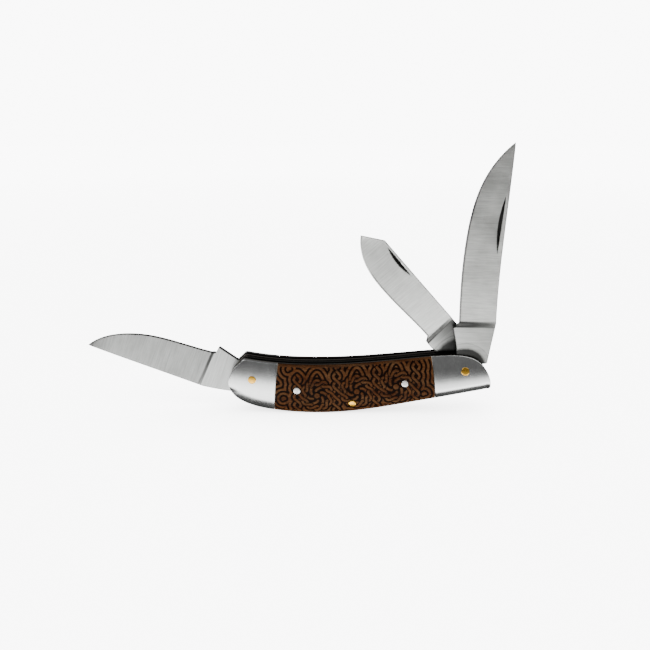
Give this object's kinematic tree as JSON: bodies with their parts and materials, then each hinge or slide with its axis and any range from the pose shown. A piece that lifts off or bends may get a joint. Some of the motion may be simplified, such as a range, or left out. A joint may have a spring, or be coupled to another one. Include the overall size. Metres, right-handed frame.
{
  "type": "folding whittling knife",
  "caption": "Folding pocket knife with a saddle-backed wood and steel handle and pivoting blades of different shapes, each on its own backspring.",
  "frame": {"origin": "the middle of the handle's length on the back cover's flat outer face, 12.2 mm above the lowest point of the belly", "axes": "+X along the handle towards the end with the two blades; +Y out of the back cover, through the thickness; +Z out of the blade well, away from the belly"},
  "size_m": [0.1565, 0.0135, 0.0996],
  "materials": {
    "blade_steel": "satin, fine brush lines across the blade",
    "bolster_steel": "satin brushed across the handle",
    "liner_steel": "dark, unpolished",
    "spring_steel": "ground, unpolished",
    "pin_brass": "ground flush, satin",
    "rivet_silver": "polished nickel silver",
    "scale_wood": "oiled rosewood with burnt engraving"
  },
  "bodies": {
    "handle": {"front_left_bolster": "bolster_steel", "front_right_bolster": "bolster_steel", "back_left_bolster": "bolster_steel", "back_right_bolster": "bolster_steel", "front_scale": "scale_wood", "back_scale": "scale_wood", "front_scale_rivets": "rivet_silver", "back_scale_rivets": "rivet_silver", "front_liner": "liner_steel", "front_divider": "liner_steel", "back_divider": "liner_steel", "back_liner": "liner_steel", "main_spring": "spring_steel", "spey_spring": "spring_steel", "pen_spring": "spring_steel", "left_pivot_pin": "pin_brass", "right_pivot_pin": "pin_brass", "centre_pin": "pin_brass"},
    "main": {"main_blade": "blade_steel"},
    "spey": {"spey_blade": "blade_steel"},
    "pen": {"pen_blade": "blade_steel"}
  },
  "joints": [
    {"name": "main_pivot", "type": "hinge", "parent": "handle", "child": "main", "pos_m": [0.0392, -0.00935, 0.0048], "axis": [0, -1, 0], "range_deg": [-76.6, 97.6]},
    {"name": "spey_pivot", "type": "hinge", "parent": "handle", "child": "spey", "pos_m": [0.0392, -0.00675, 0.0048], "axis": [0, -1, 0], "range_deg": [-119.6, 53.5]},
    {"name": "pen_pivot", "type": "hinge", "parent": "handle", "child": "pen", "pos_m": [-0.04035, -0.00415, 0.0016], "axis": [0, 1, 0], "range_deg": [0, 163.5]}
  ]
}
